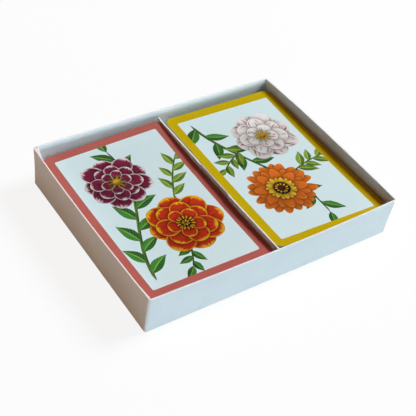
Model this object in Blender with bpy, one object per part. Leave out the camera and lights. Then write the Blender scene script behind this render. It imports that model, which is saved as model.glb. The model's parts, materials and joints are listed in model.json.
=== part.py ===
"""Two decks of playing cards, side by side in an open tray of paper-covered board.

Metres, +Z up. The origin is the middle of the tray's underside, +X runs to the right along the front wall,
and +Y runs to the back. Every size of the tray follows from the cards and from the sheets that it is made of.
"""

import math

import bmesh
import bpy

# The cards
CARD_WIDTH = 0.05715
CARD_LENGTH = 0.0889
CARD_THICKNESS = 0.00021
CARD_CORNER_RADIUS = 0.0032
CARD_CORNER_STEPS = 5
SUITS = ("hearts", "clubs", "diamonds", "spades")
PACKET_CARDS = 9
LOWER_SUITS = 2

# How each deck lies: the air between two cards, more in the looser deck, which then stands higher, a small
# turn, and how far the deck is off the middle of its compartment, towards the outer wall and the back
CORAL_AIR = 0.00001
YELLOW_AIR = 0.00003
CORAL_TURN = math.radians(-0.3)
YELLOW_TURN = math.radians(-1.15)
CORAL_SHIFT_OUT = -0.0006
YELLOW_SHIFT_OUT = 0.00006
CORAL_SHIFT_BACK = 0.0005
YELLOW_SHIFT_BACK = -0.00045
SIDE_PLAY = 0.00016
END_PLAY = 0.00012

# The sheets that the tray is made of, and the glue line left between any two of them
BASE_PAPER_THICKNESS = 0.00015
BASE_PAPER_INSET = 0.0015
WRAP_THICKNESS = 0.0001
STAY_THICKNESS = 0.00006
WALL_BOARD_THICKNESS = 0.0003
BASE_BOARD_THICKNESS = 0.00085
LINER_THICKNESS = 0.0003
GLUE_LINE = 0.00004

# The tray's own sizes
RIM_ABOVE_CARDS = 0.0045
DIVIDER_ABOVE_CARDS = 0.0019
BOARD_CORNER_RADIUS = 0.0003
CORNER_STEPS = 4
WRAP_TURN_UNDER = 0.012
WRAP_ABOVE_LINER = 0.0008
STAY_LEG = 0.011
STAY_MARGIN = 0.0012
FINGER_RELIEF_LENGTH = 0.021
FINGER_RELIEF_DEPTH = 0.009
FINGER_RELIEF_RADIUS = 0.004
FINGER_RELIEF_STEPS = 5

# What follows from them: levels, from the table up
DECK_CARDS = len(SUITS) * (PACKET_CARDS + 4) + 2
DECK_HEIGHT = DECK_CARDS * CARD_THICKNESS + (DECK_CARDS - 1) * max(CORAL_AIR, YELLOW_AIR)
WRAP_UNDERSIDE = BASE_PAPER_THICKNESS + GLUE_LINE
BASE_BOARD_LEVEL = WRAP_UNDERSIDE + WRAP_THICKNESS + GLUE_LINE
WALL_LEVEL = BASE_BOARD_LEVEL + BASE_BOARD_THICKNESS + GLUE_LINE
LINER_LEVEL = WALL_LEVEL
DECK_LEVEL = LINER_LEVEL + LINER_THICKNESS + GLUE_LINE
CARD_TOP = DECK_LEVEL + DECK_HEIGHT
DIVIDER_TOP = CARD_TOP + DIVIDER_ABOVE_CARDS
RIM = CARD_TOP + RIM_ABOVE_CARDS

# The layers of a wall, counted inwards from its outer face
STAY_OFFSET = WRAP_THICKNESS + GLUE_LINE
BOARD_OFFSET = STAY_OFFSET + STAY_THICKNESS + GLUE_LINE
TURN_IN_OFFSET = BOARD_OFFSET + WALL_BOARD_THICKNESS + GLUE_LINE
WALL_THICKNESS = TURN_IN_OFFSET + WRAP_THICKNESS
TRAY_CORNER_RADIUS = BOARD_CORNER_RADIUS + BOARD_OFFSET


def reach(turn):
    """Half the width and half the length of the space that a card takes up when it lies turned."""
    straight_x = CARD_WIDTH / 2 - CARD_CORNER_RADIUS
    straight_y = CARD_LENGTH / 2 - CARD_CORNER_RADIUS
    sine = abs(math.sin(turn))
    cosine = math.cos(turn)
    half_x = straight_x * cosine + straight_y * sine + CARD_CORNER_RADIUS
    half_y = straight_y * cosine + straight_x * sine + CARD_CORNER_RADIUS
    return half_x, half_y


# The plan: the compartments hold the deck that needs the most room
CORAL_REACH = reach(CORAL_TURN)
YELLOW_REACH = reach(YELLOW_TURN)
DECK_REACH_X = max(CORAL_REACH[0] + abs(CORAL_SHIFT_OUT), YELLOW_REACH[0] + abs(YELLOW_SHIFT_OUT))
DECK_REACH_Y = max(CORAL_REACH[1] + abs(CORAL_SHIFT_BACK), YELLOW_REACH[1] + abs(YELLOW_SHIFT_BACK))
DIVIDER_HALF = LINER_THICKNESS + GLUE_LINE / 2
DECK_X = DIVIDER_HALF + SIDE_PLAY + DECK_REACH_X
INNER_X = DECK_X + DECK_REACH_X + SIDE_PLAY
INNER_Y = DECK_REACH_Y + END_PLAY
OUTER_X = INNER_X + WALL_THICKNESS
OUTER_Y = INNER_Y + WALL_THICKNESS


def clear_scene():
    for item in list(bpy.data.objects):
        bpy.data.objects.remove(item, do_unlink=True)


def finish(name, colour, roughness):
    """A Principled material for one kind of sheet."""
    made = bpy.data.materials.get(name)
    if made is None:
        made = bpy.data.materials.new(name)
        made.use_nodes = True
        shader = made.node_tree.nodes["Principled BSDF"]
        shader.inputs["Base Color"].default_value = (*colour, 1.0)
        shader.inputs["Roughness"].default_value = roughness
        shader.inputs["Metallic"].default_value = 0.0
    return made


def add_object(name, shape, material, parent=None):
    """Puts a finished bmesh into the scene as one named object."""
    bmesh.ops.recalc_face_normals(shape, faces=shape.faces)
    mesh = bpy.data.meshes.new(name)
    shape.to_mesh(mesh)
    shape.free()
    made = bpy.data.objects.new(name, mesh)
    made.data.materials.append(material)
    made.parent = parent
    bpy.context.scene.collection.objects.link(made)
    return made


def add_empty(name, location, turn=0.0, parent=None):
    """An empty on the upright line that a deck, or a part of one, is lifted along."""
    made = bpy.data.objects.new(name, None)
    made.location = location
    made.rotation_euler.z = turn
    made.parent = parent
    bpy.context.scene.collection.objects.link(made)
    return made


def corner_arc(corner_x, corner_y, side_x, side_y, radius, steps):
    """Points round one corner of a plan, from the side that faces along X to the side that faces along Y."""
    centre_x = corner_x - side_x * radius
    centre_y = corner_y - side_y * radius
    points = []
    for step in range(steps + 1):
        angle = math.pi / 2 * step / steps
        x = centre_x + side_x * radius * math.cos(angle)
        y = centre_y + side_y * radius * math.sin(angle)
        points.append((x, y))
    return points


def rounded_plan(half_x, half_y, radius, steps):
    """An anticlockwise rectangle with round corners, about the origin."""
    points = corner_arc(half_x, half_y, 1, 1, radius, steps)
    points += reversed(corner_arc(-half_x, half_y, -1, 1, radius, steps))
    points += corner_arc(-half_x, -half_y, -1, -1, radius, steps)
    points += reversed(corner_arc(half_x, -half_y, 1, -1, radius, steps))
    return points


def slab(plan, low, high):
    """The solid that stands on a plan between two levels."""
    shape = bmesh.new()
    corners = [shape.verts.new((x, y, low)) for x, y in plan]
    floor = shape.faces.new(corners)
    raised = bmesh.ops.extrude_face_region(shape, geom=[floor])["geom"]
    lifted = [item for item in raised if isinstance(item, bmesh.types.BMVert)]
    bmesh.ops.translate(shape, vec=(0, 0, high - low), verts=lifted)
    return shape


def box(low_x, high_x, low_y, high_y, low, high):
    return slab([(low_x, low_y), (high_x, low_y), (high_x, high_y), (low_x, high_y)], low, high)


def make_base_paper(paper):
    half_x = OUTER_X - BASE_PAPER_INSET
    half_y = OUTER_Y - BASE_PAPER_INSET
    add_object("base_paper", box(-half_x, half_x, -half_y, half_y, 0, BASE_PAPER_THICKNESS), paper)


def make_boards(board):
    """The floor, and four walls on its edge: front and back are full width, with soft outer corners."""
    half_x = OUTER_X - BOARD_OFFSET
    half_y = OUTER_Y - BOARD_OFFSET
    plan = rounded_plan(half_x, half_y, BOARD_CORNER_RADIUS, CORNER_STEPS)
    add_object("base_board", slab(plan, BASE_BOARD_LEVEL, BASE_BOARD_LEVEL + BASE_BOARD_THICKNESS), board)
    top = RIM - WRAP_THICKNESS - GLUE_LINE
    for name, side in (("front", -1), ("back", 1)):
        inner_y = side * (half_y - WALL_BOARD_THICKNESS)
        right = corner_arc(half_x, side * half_y, 1, side, BOARD_CORNER_RADIUS, CORNER_STEPS)
        left = corner_arc(-half_x, side * half_y, -1, side, BOARD_CORNER_RADIUS, CORNER_STEPS)
        plan = [(half_x, inner_y), *right, *reversed(left), (-half_x, inner_y)]
        add_object(f"{name}_wall_board", slab(plan, WALL_LEVEL, top), board)
    end_y = half_y - WALL_BOARD_THICKNESS - GLUE_LINE
    for name, side in (("left", -1), ("right", 1)):
        near = min(side * half_x, side * (half_x - WALL_BOARD_THICKNESS))
        shape = box(near, near + WALL_BOARD_THICKNESS, -end_y, end_y, WALL_LEVEL, top)
        add_object(f"{name}_wall_board", shape, board)


def make_corner_stays(tape):
    """A paper tape round each corner of the boards, under the wrap."""
    outer_x = OUTER_X - STAY_OFFSET
    outer_y = OUTER_Y - STAY_OFFSET
    inner_radius = BOARD_CORNER_RADIUS + GLUE_LINE
    outer_radius = inner_radius + STAY_THICKNESS
    for end, side_y in (("front", -1), ("back", 1)):
        for hand, side_x in (("left", -1), ("right", 1)):
            outside_x = side_x * outer_x
            outside_y = side_y * outer_y
            outside = corner_arc(outside_x, outside_y, side_x, side_y, outer_radius, CORNER_STEPS)
            inside_x = side_x * (outer_x - STAY_THICKNESS)
            inside_y = side_y * (outer_y - STAY_THICKNESS)
            inside = corner_arc(inside_x, inside_y, side_x, side_y, inner_radius, CORNER_STEPS)
            leg_y = side_y * (outer_y - STAY_LEG)
            leg_x = side_x * (outer_x - STAY_LEG)
            plan = [(outside_x, leg_y), *outside, (leg_x, outside_y)]
            plan += [(leg_x, inside_y), *reversed(inside), (inside_x, leg_y)]
            shape = slab(plan, WALL_LEVEL + STAY_MARGIN, RIM - STAY_MARGIN)
            add_object(f"corner_stay_{end}_{hand}", shape, tape)


def wrap_profile():
    """The wrap's section as (distance in from its outer face, level): outside, rim, inside, then under."""
    flap = LINER_LEVEL + LINER_THICKNESS + WRAP_ABOVE_LINER
    under = WRAP_UNDERSIDE
    return [
        (0, under),
        (0, RIM),
        (WALL_THICKNESS, RIM),
        (WALL_THICKNESS, flap),
        (TURN_IN_OFFSET, flap),
        (TURN_IN_OFFSET, RIM - WRAP_THICKNESS),
        (WRAP_THICKNESS, RIM - WRAP_THICKNESS),
        (WRAP_THICKNESS, under + WRAP_THICKNESS),
        (WRAP_TURN_UNDER, under + WRAP_THICKNESS),
        (WRAP_TURN_UNDER, under),
    ]


def make_side_wrap(paper):
    """One sheet round all four walls: its section is carried round the tray and closed on itself."""
    shape = bmesh.new()
    rings = []
    for inset, level in wrap_profile():
        radius = max(TRAY_CORNER_RADIUS - inset, 0)
        plan = rounded_plan(OUTER_X - inset, OUTER_Y - inset, radius, CORNER_STEPS)
        rings.append([shape.verts.new((x, y, level)) for x, y in plan])
    for ring, following in zip(rings, rings[1:] + rings[:1]):
        for place in range(len(ring)):
            beside = (place + 1) % len(ring)
            shape.faces.new((ring[place], ring[beside], following[beside], following[place]))
    bmesh.ops.remove_doubles(shape, verts=shape.verts, dist=WRAP_THICKNESS / 100)
    add_object("side_wrap", shape, paper)


def finger_relief_cutter(side):
    """The hole cut down into a leaf: straight at the mouth, with round lower corners."""
    half = FINGER_RELIEF_LENGTH / 2
    floor = DIVIDER_TOP - FINGER_RELIEF_DEPTH
    mouth = DIVIDER_TOP + FINGER_RELIEF_DEPTH
    outline = [(half, mouth)]
    outline += corner_arc(half, floor, 1, -1, FINGER_RELIEF_RADIUS, FINGER_RELIEF_STEPS)
    outline += reversed(corner_arc(-half, floor, -1, -1, FINGER_RELIEF_RADIUS, FINGER_RELIEF_STEPS))
    outline.append((-half, mouth))
    shape = bmesh.new()
    middle = side * (GLUE_LINE / 2 + LINER_THICKNESS / 2)
    near = middle - LINER_THICKNESS
    start = shape.faces.new([shape.verts.new((near, y, z)) for y, z in outline])
    raised = bmesh.ops.extrude_face_region(shape, geom=[start])["geom"]
    pushed = [item for item in raised if isinstance(item, bmesh.types.BMVert)]
    bmesh.ops.translate(shape, vec=(2 * LINER_THICKNESS, 0, 0), verts=pushed)
    return shape


def make_liner(hand, side, card):
    """One compartment's lining: a floor sheet with a leaf folded up at its inner edge."""
    section = [
        (side * GLUE_LINE / 2, LINER_LEVEL),
        (side * (INNER_X - GLUE_LINE), LINER_LEVEL),
        (side * (INNER_X - GLUE_LINE), LINER_LEVEL + LINER_THICKNESS),
        (side * DIVIDER_HALF, LINER_LEVEL + LINER_THICKNESS),
        (side * DIVIDER_HALF, DIVIDER_TOP),
        (side * GLUE_LINE / 2, DIVIDER_TOP),
    ]
    half_y = INNER_Y - GLUE_LINE
    shape = bmesh.new()
    end = shape.faces.new([shape.verts.new((x, -half_y, z)) for x, z in section])
    raised = bmesh.ops.extrude_face_region(shape, geom=[end])["geom"]
    pushed = [item for item in raised if isinstance(item, bmesh.types.BMVert)]
    bmesh.ops.translate(shape, vec=(0, 2 * half_y, 0), verts=pushed)
    return add_object(f"{hand}_liner", shape, card)


def make_liners(card):
    """Two linings, whose leaves stand back to back as the divider. The left leaf has a finger relief."""
    left = make_liner("left", -1, card)
    make_liner("right", 1, card)
    cutter = add_object("finger_relief_cutter", finger_relief_cutter(-1), card)
    cutter.hide_render = True
    cutter.display_type = "WIRE"
    cut = left.modifiers.new("finger relief", "BOOLEAN")
    cut.operation = "DIFFERENCE"
    cut.solver = "EXACT"
    cut.object = cutter


def make_cards(name, first, count, air, stock, parent):
    """A run of cards as one solid. The first is numbered up from the bottom of the deck."""
    pitch = CARD_THICKNESS + air
    plan = rounded_plan(CARD_WIDTH / 2, CARD_LENGTH / 2, CARD_CORNER_RADIUS, CARD_CORNER_STEPS)
    shape = slab(plan, 0, count * pitch - air)
    made = add_object(name, shape, stock, parent)
    lifted_from = parent.matrix_world.translation.z
    made.location.z = DECK_LEVEL + first * pitch - lifted_from
    return first + count


def make_deck(colour, x, shift_back, turn, air, stock):
    """One deck, backs up: two suits in the lower half, two in the upper half, then the jokers."""
    pitch = CARD_THICKNESS + air
    half_cards = LOWER_SUITS * (PACKET_CARDS + 4)
    lower = add_empty(f"{colour}_deck_lift_line", (x, shift_back, DECK_LEVEL), turn)
    upper = add_empty(f"{colour}_cut_lift_line", (0, 0, half_cards * pitch), parent=lower)
    rise_to_top = (DECK_CARDS - 1 - half_cards) * pitch
    top = add_empty(f"{colour}_top_card_lift_line", (0, 0, rise_to_top), parent=upper)
    bpy.context.view_layer.update()
    level = 0
    for place, suit in enumerate(SUITS):
        parent = lower if place < LOWER_SUITS else upper
        level = make_cards(f"{colour}_ace_of_{suit}", level, 1, air, stock, parent)
        level = make_cards(f"{colour}_two_to_ten_of_{suit}", level, PACKET_CARDS, air, stock, parent)
        for court in ("jack", "queen", "king"):
            level = make_cards(f"{colour}_{court}_of_{suit}", level, 1, air, stock, parent)
    level = make_cards(f"{colour}_joker_2", level, 1, air, stock, upper)
    make_cards(f"{colour}_joker_1", level, 1, air, stock, top)


def main():
    clear_scene()
    white_paper = finish("white wrap paper", (0.78, 0.82, 0.84), 0.6)
    greyboard = finish("greyboard", (0.36, 0.34, 0.31), 0.9)
    stay_tape = finish("kraft stay tape", (0.5, 0.4, 0.28), 0.8)
    liner_card = finish("white liner card", (0.74, 0.76, 0.76), 0.6)
    coral_stock = finish("coral card stock", (0.52, 0.11, 0.09), 0.4)
    yellow_stock = finish("yellow card stock", (0.55, 0.38, 0.0), 0.4)
    make_base_paper(white_paper)
    make_boards(greyboard)
    make_corner_stays(stay_tape)
    make_side_wrap(white_paper)
    make_liners(liner_card)
    coral_x = -DECK_X - CORAL_SHIFT_OUT
    yellow_x = DECK_X + YELLOW_SHIFT_OUT
    make_deck("coral", coral_x, CORAL_SHIFT_BACK, CORAL_TURN, CORAL_AIR, coral_stock)
    make_deck("yellow", yellow_x, YELLOW_SHIFT_BACK, YELLOW_TURN, YELLOW_AIR, yellow_stock)
    print(f"tray {2 * OUTER_X:.4f} x {2 * OUTER_Y:.4f} x {RIM:.4f} m, {DECK_CARDS} cards in each deck")


main()
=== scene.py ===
# %% [markdown]
# # Two decks of cards in an open paper tray
#
# The object is a shallow tray of greyboard covered in white paper. Two bridge decks lie in it side by side,
# backs up, with a low divider of folded card between them. The CAD model already has every board and sheet,
# and every card or packet of cards, at its true size and in its place. This lesson keeps those sizes and
# adds what paper really does: it folds over a rim in a small round, boards bow a little, cards curl, a deck
# leans over, and ink has a grain.

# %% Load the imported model
import json
import math

import bmesh
import bpy
import numpy as np
from mathutils.geometry import delaunay_2d_cdt
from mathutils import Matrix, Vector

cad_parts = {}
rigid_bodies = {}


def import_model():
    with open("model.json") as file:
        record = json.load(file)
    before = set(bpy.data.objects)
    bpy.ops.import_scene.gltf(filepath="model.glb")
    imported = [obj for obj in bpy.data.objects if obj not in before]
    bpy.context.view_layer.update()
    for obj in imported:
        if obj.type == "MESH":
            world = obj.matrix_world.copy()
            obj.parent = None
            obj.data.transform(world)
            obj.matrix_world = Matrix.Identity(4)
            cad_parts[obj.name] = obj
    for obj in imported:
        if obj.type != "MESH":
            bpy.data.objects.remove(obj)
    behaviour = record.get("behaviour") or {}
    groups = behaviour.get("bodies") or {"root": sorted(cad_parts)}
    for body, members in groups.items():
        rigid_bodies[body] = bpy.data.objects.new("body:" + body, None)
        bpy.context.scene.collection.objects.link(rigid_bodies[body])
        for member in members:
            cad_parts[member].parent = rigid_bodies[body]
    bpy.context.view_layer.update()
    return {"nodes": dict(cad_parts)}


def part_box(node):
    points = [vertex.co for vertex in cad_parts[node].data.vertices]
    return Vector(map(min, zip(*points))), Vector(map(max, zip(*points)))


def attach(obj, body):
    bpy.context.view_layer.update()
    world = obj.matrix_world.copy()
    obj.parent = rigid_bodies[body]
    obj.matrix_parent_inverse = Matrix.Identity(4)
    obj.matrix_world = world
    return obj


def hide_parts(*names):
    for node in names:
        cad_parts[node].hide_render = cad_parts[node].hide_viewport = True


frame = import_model()
MM = 0.001

# %% [markdown]
# ## The camera
#
# A camera can be set by eye, or solved from points whose real places are known. Here the four corners of
# the rim and of the two printed panels were enough to solve it. It looks down from the front left, through
# a fairly long lens, so the tray's far side is only a little smaller than its near side.

# %% Camera
SENSOR_WIDTH = 36
LENS_LENGTH = 80.857
CAMERA_PLACE = (-0.191238, -0.224422, 0.271679)
CAMERA_TURN = (46.8575, -7.2261, -33.5292)

lens = bpy.data.cameras.new("tray_view")
lens.sensor_width = SENSOR_WIDTH
lens.lens = LENS_LENGTH
camera = bpy.data.objects.new("tray_view", lens)
camera.location = CAMERA_PLACE
camera.rotation_euler = [math.radians(angle) for angle in CAMERA_TURN]
bpy.context.scene.collection.objects.link(camera)
bpy.context.scene.camera = camera
bpy.context.scene.view_settings.view_transform = "Standard"
print("camera stands", round(camera.location.length, 3), "m from the middle of the tray")

# %% [markdown]
# ## Shader maths as plain sums
#
# A procedural finish is a small sum about each point of a surface. Written as nodes it soon sprawls, so one
# class wraps a node's output and lets Python's own operators add the Math nodes. Any other node comes from
# its `node` method: settings first, then the values or links of its sockets. The same class also serves
# Geometry Nodes, which share the Math node.


# %% The class that wraps a socket
class Value:
    """One output of a node. Sums and products of Values add Math nodes to the same tree."""

    def __init__(self, tree, socket):
        self.tree = tree
        self.socket = socket

    def node(self, kind, settings=None, inputs=None, output=0):
        """Adds any node and returns one of its outputs."""
        made = self.tree.nodes.new(kind)
        for name, setting in (settings or {}).items():
            setattr(made, name, setting)
        for name, given in (inputs or {}).items():
            if isinstance(given, Value):
                self.tree.links.new(given.socket, made.inputs[name])
            else:
                made.inputs[name].default_value = given
        return Value(self.tree, made.outputs[output]) if made.outputs else None

    def beside(self, output):
        """Another output of the same node."""
        return Value(self.tree, self.socket.node.outputs[output])

    def math(self, operation, *others):
        """Adds a Math node with this value as its first term."""
        terms = dict(enumerate((self,) + others))
        return self.node("ShaderNodeMath", {"operation": operation}, terms)

    def __add__(self, other):
        return self.math("ADD", other)

    def __sub__(self, other):
        return self.math("SUBTRACT", other)

    def __rsub__(self, other):
        return self.node("ShaderNodeMath", {"operation": "SUBTRACT"}, {0: other, 1: self})

    def __mul__(self, other):
        return self.math("MULTIPLY", other)

    def __truediv__(self, other):
        return self.math("DIVIDE", other)

    def __pow__(self, other):
        return self.math("POWER", other)

    def __abs__(self):
        return self.math("ABSOLUTE")

    __radd__ = __add__
    __rmul__ = __mul__

    def rises(self, low, high):
        """0 below low, 1 above high, and a smooth step between."""
        reach = {"Value": self, "From Min": low, "From Max": high}
        return self.node("ShaderNodeMapRange", {"interpolation_type": "SMOOTHSTEP"}, reach)

    def blend(self, first, second):
        """Two colours mixed, with this value as the share of the second."""
        return self.node("ShaderNodeMix", {"data_type": "RGBA"}, {0: self, 6: first, 7: second}, 2)

    def scaled(self, factor):
        """This colour or vector made lighter or longer by a factor."""
        return self.node("ShaderNodeVectorMath", {"operation": "SCALE"}, {0: self, "Scale": factor})

    def noise(self, scale, detail=2.0):
        """Soft random numbers about 0.5 over this vector."""
        return self.node("ShaderNodeTexNoise", None, {"Vector": self, "Scale": scale, "Detail": detail})

    def vector(self, x, y, z):
        """Three numbers as a vector, in the same tree."""
        return self.node("ShaderNodeCombineXYZ", None, {0: x, 1: y, 2: z})

    def times(self, other):
        """This vector multiplied by another, axis by axis."""
        return self.node("ShaderNodeVectorMath", {"operation": "MULTIPLY"}, {0: self, 1: other})

    def axis(self, which):
        """One of the three numbers of this vector."""
        return self.node("ShaderNodeSeparateXYZ", None, {0: self}, which)


# %% Helpers that start a finish
def ink(red, green, blue):
    """A colour given as it looks on a screen, 0 to 255, turned into the linear light that nodes work in."""
    shares = [part / 255 for part in (red, green, blue)]
    linear = [part / 12.92 if part <= 0.04045 else ((part + 0.055) / 1.055) ** 2.4 for part in shares]
    return (*linear, 1.0)


def start_finish(name, constants):
    """A new material, with the numbers that are the same all over it, and its Object coordinates."""
    material = bpy.data.materials.new(name)
    material.use_nodes = True
    tree = material.node_tree
    for socket, number in constants.items():
        tree.nodes["Principled BSDF"].inputs[socket].default_value = number
    place = Value(tree, None).node("ShaderNodeTexCoord", None, None, "Object")
    return material, place


def feed(material, socket, value):
    """Links a value to the material's shader."""
    tree = material.node_tree
    tree.links.new(value.socket, tree.nodes["Principled BSDF"].inputs[socket])


def feed_bump(material, height, strength, distance):
    """Links a height pattern to the shader as small bumps."""
    sizes = {"Strength": strength, "Distance": distance, "Height": height}
    feed(material, "Normal", height.node("ShaderNodeBump", None, sizes))


print("a middle grey of 128 is", round(ink(128, 128, 128)[0], 3), "of white in linear light")

# %% [markdown]
# ## Floor and light
#
# The tray stands on a white sweep under one soft lamp at its right and a little in front. The right wall
# and the divider throw clear shadows from it. Only weak air fills them, warm from overhead and cool from
# the front, which is why they look brown. A second lamp stands low in front. It reaches little more than
# the front wall and the top of the back wall, because the front rim hides the rest from it. A third, weak
# and warm, does the same for the left wall. The floor shows white to the camera without lighting the tray
# more: most of what the camera sees of it is plain white, and the rest takes the tray's shadow.

# %% The floor
WHITE = (1, 1, 1, 1)
CORNER_SIDES = ((1, 1), (-1, 1), (-1, -1), (1, -1))
FLOOR_REACH = 1.5
FLOOR_LEVEL = -0.03 * MM
FLOOR_BOUNCE = (0.62, 0.57, 0.53, 1)
FLOOR_SEEN = (0.99, 0.99, 0.99, 1)
FLOOR_WHITE_SHARE = 0.88


def seen_directly(value):
    """1 for a ray from the camera, or one that reaches here by a mirror or through glass."""
    path = value.node("ShaderNodeLightPath", None, None, "Is Camera Ray")
    straight = path.math("MAXIMUM", path.beside("Is Glossy Ray"))
    return straight.math("MAXIMUM", path.beside("Is Transmission Ray"))


floor_finish, floor_place = start_finish("white_sweep", {"Roughness": 0.9, "Specular IOR Level": 0.0})
straight_ray = seen_directly(floor_place)
feed(floor_finish, "Base Color", straight_ray.blend(FLOOR_BOUNCE, FLOOR_SEEN))
floor_tree = floor_finish.node_tree
floor_white = floor_place.node("ShaderNodeEmission", None, {"Color": WHITE, "Strength": 1.0})
floor_lit = Value(floor_tree, floor_tree.nodes["Principled BSDF"].outputs[0])
floor_shares = {0: straight_ray * FLOOR_WHITE_SHARE, 1: floor_lit, 2: floor_white}
floor_mixed = floor_place.node("ShaderNodeMixShader", None, floor_shares)
floor_tree.links.new(floor_mixed.socket, floor_tree.nodes["Material Output"].inputs["Surface"])

floor_mesh = bpy.data.meshes.new("floor")
floor_corners = [(x * FLOOR_REACH, y * FLOOR_REACH, FLOOR_LEVEL) for x, y in CORNER_SIDES]
floor_mesh.from_pydata(floor_corners, [], [(0, 1, 2, 3)])
floor_mesh.materials.append(floor_finish)
floor = bpy.data.objects.new("floor", floor_mesh)
bpy.context.scene.collection.objects.link(floor)
print("floor is", 2 * FLOOR_REACH, "m wide")

# %% The lamps
LAMPS = {
    "side_lamp": {
        "place": (2.15, -0.185, 2.085), "size": (1.05, 1.05), "watts": 106.5, "colour": (0.872, 0.945, 1.0)},
    "low_front_lamp": {
        "place": (0.0, -3.0, 0.072), "size": (1.2, 0.06), "watts": 43.4, "colour": (0.674, 0.862, 1.0)},
    "low_left_lamp": {
        "place": (-3.0, 0.0, 0.012), "size": (1.2, 0.02), "watts": 12.7, "colour": (1.0, 0.55, 0.20)},
}

for name, facts in LAMPS.items():
    lamp_data = bpy.data.lights.new(name, "AREA")
    lamp_data.shape = "RECTANGLE"
    lamp_data.size, lamp_data.size_y = facts["size"]
    lamp_data.energy = facts["watts"]
    lamp_data.color = facts["colour"]
    lamp = bpy.data.objects.new(name, lamp_data)
    lamp.location = facts["place"]
    lamp.rotation_euler = lamp.location.to_track_quat("Z", "Y").to_euler()
    bpy.context.scene.collection.objects.link(lamp)
    print(name, "stands", round(lamp.location.length, 2), "m away")

# %% The air round them
WARM_AIR = (0.35, 0.094, 0.024, 1)
COOL_AIR = (0.0, 0.25, 0.27, 1)
COOL_AIR_FADE = (-1.0, -0.3)
DARK = (0, 0, 0, 1)

air = bpy.data.worlds.new("air")
air.use_nodes = True
air_tree = air.node_tree
air_way = Value(air_tree, None).node("ShaderNodeTexCoord", None, None, "Generated")
air_depth = air_way.axis(1)
air_height = air_depth.beside(2).math("MAXIMUM", 0.0)
air_above = (air_height * air_height).blend(DARK, WARM_AIR)
air_colour = air_depth.rises(*COOL_AIR_FADE).blend(COOL_AIR, air_above)
air_colour = seen_directly(air_way).blend(air_colour, WHITE)
air_tree.links.new(air_colour.socket, air_tree.nodes["Background"].inputs["Color"])
bpy.context.scene.world = air
print("air: cool in front", COOL_AIR[:3], "and warm overhead", WARM_AIR[:3])

# %% [markdown]
# ## Tray paper
#
# The wrap is a plain white paper, a little cool, with short fibres that show as a faint mottle and catch
# light at a low angle. A painted highlight lightens it along the rim, warm cream along the left rim. The
# card of the liners is a warmer white, the boards inside are grey, and the tapes at the corners are brown.
# Object coordinates suit them all, because none of these sheets has a pattern that turns with its folds.

# %% Paper finishes of the tray
WRAP_LOW, WRAP_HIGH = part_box("side_wrap")
OUTER_X = WRAP_HIGH[0]
OUTER_Y = WRAP_HIGH[1]
RIM = WRAP_HIGH[2]
UNDERSIDE = WRAP_LOW[2]
CLOUD_SCALE = 90.0
TONE_RANGE = (0.3, 0.7)
PAPER_BUMP = 0.06 * MM
RIM_HIGHLIGHT_DEPTH = 0.45 * MM
RIM_HIGHLIGHT_SHARE = 0.85
RIM_HIGHLIGHT_WHITE = ink(237, 240, 241)
RIM_HIGHLIGHT_CREAM = ink(253, 247, 239)
CREAM_HIGHLIGHT_FULL = 1.5 * MM
CREAM_HIGHLIGHT_END = 4.0 * MM
BOARD_FLECK = ink(96, 92, 88)


def paper_finish(name, dark, light, roughness, fibre_scale, bump):
    """Paper: a cloudy tone, fine fibres, and the bumps of both. Gives its coordinates and colour as well."""
    material, place = start_finish(name, {"Specular IOR Level": 0.12})
    clouds = place.noise(CLOUD_SCALE, 3.0)
    fibres = place.noise(fibre_scale, 4.0)
    tone = clouds.rises(*TONE_RANGE) * 0.55 + fibres.rises(*TONE_RANGE) * 0.45
    colour = tone.blend(ink(*dark), ink(*light))
    feed(material, "Base Color", colour)
    feed(material, "Roughness", fibres * 0.15 + roughness)
    feed_bump(material, fibres * 0.6 + clouds, bump, PAPER_BUMP)
    return material, place, colour


white_paper, wrap_place, wrap_colour = paper_finish(
    "white_wrap_paper", (226, 231, 234), (233, 237, 239), 0.5, 1500.0, 0.35)
wrap_height = wrap_place.axis(2)
wrap_across = wrap_height.beside(0)
# Painted highlight: near the top of the rim the wrap is painted lighter in patches, white on most walls and
# warm cream along the left rim.
rim_highlight = wrap_height.rises(RIM - RIM_HIGHLIGHT_DEPTH, RIM) * wrap_place.noise(240.0, 3.0).rises(0.2, 0.5)
rim_highlight_colour = wrap_across.rises(CREAM_HIGHLIGHT_FULL - OUTER_X, CREAM_HIGHLIGHT_END - OUTER_X).blend(RIM_HIGHLIGHT_CREAM, RIM_HIGHLIGHT_WHITE)
feed(white_paper, "Base Color", (rim_highlight * RIM_HIGHLIGHT_SHARE).blend(wrap_colour, rim_highlight_colour))

greyboard, board_place, board_colour = paper_finish(
    "greyboard", (146, 142, 136), (176, 172, 164), 0.8, 1100.0, 0.6)
feed(greyboard, "Base Color", board_place.noise(2600.0).rises(0.62, 0.7).blend(board_colour, BOARD_FLECK))
stay_tape = paper_finish("corner_stay_tape", (178, 150, 112), (196, 168, 130), 0.6, 1300.0, 0.4)[0]
liner_card = paper_finish("white_liner_card", (236, 235, 226), (242, 241, 232), 0.6, 1700.0, 0.3)[0]
print("tray rim stands", round(RIM / MM, 2), "mm high")

# %% [markdown]
# ## The wrap
#
# One strip of paper goes round all four walls, over the rim and down inside, and a margin of it is turned
# under the base. Its section is the same all the way round, so a sweep is the natural way: each point of
# the section is drawn as a ring round the tray, and neighbouring rings are joined. The CAD sweep has sharp
# folds. Here the folds are round, the walls lean and bow outwards by up to about a millimetre, and the
# turned-in paper puckers in the inside corners, where there is more paper than room.

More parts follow.
